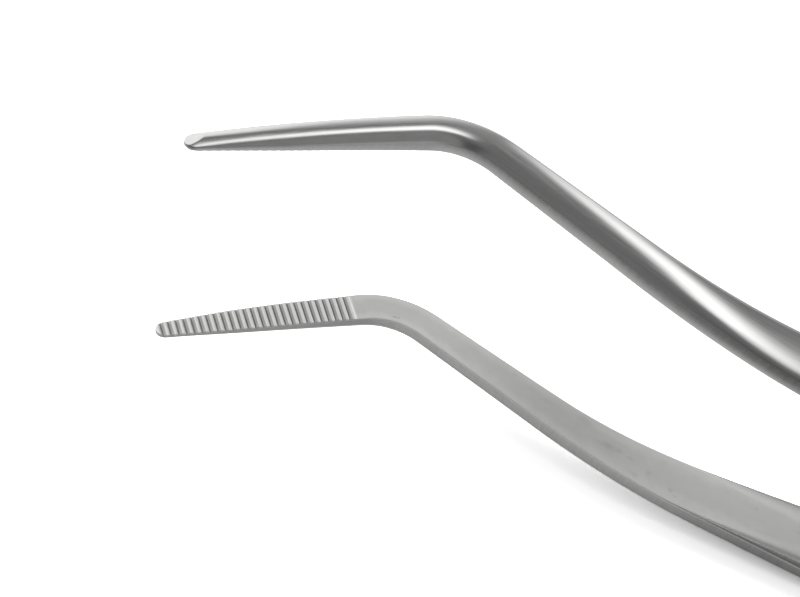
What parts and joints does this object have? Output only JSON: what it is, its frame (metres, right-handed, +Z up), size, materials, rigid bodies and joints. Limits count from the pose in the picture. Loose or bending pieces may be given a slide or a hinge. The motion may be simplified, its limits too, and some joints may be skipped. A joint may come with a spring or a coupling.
{
  "type": "angled tweezers",
  "caption": "Stainless steel thumb tweezers with slender serrated jaws bent sideways at the knee, for picking up and holding small swabs and instruments.",
  "frame": {"origin": "on the table, below the middle of the tweezers' bounding box as it lies on its lower arm", "axes": "+Z up as it lies, +X along the handle towards the welded heel, the jaws lean to -Y, and the arms open up and down"},
  "size_m": [0.1542, 0.0191, 0.0352],
  "materials": {
    "upper_arm": "satin",
    "lower_arm": "satin"
  },
  "bodies": {
    "root": {"upper_arm": "upper_arm", "lower_arm": "lower_arm"}
  },
  "joints": []
}
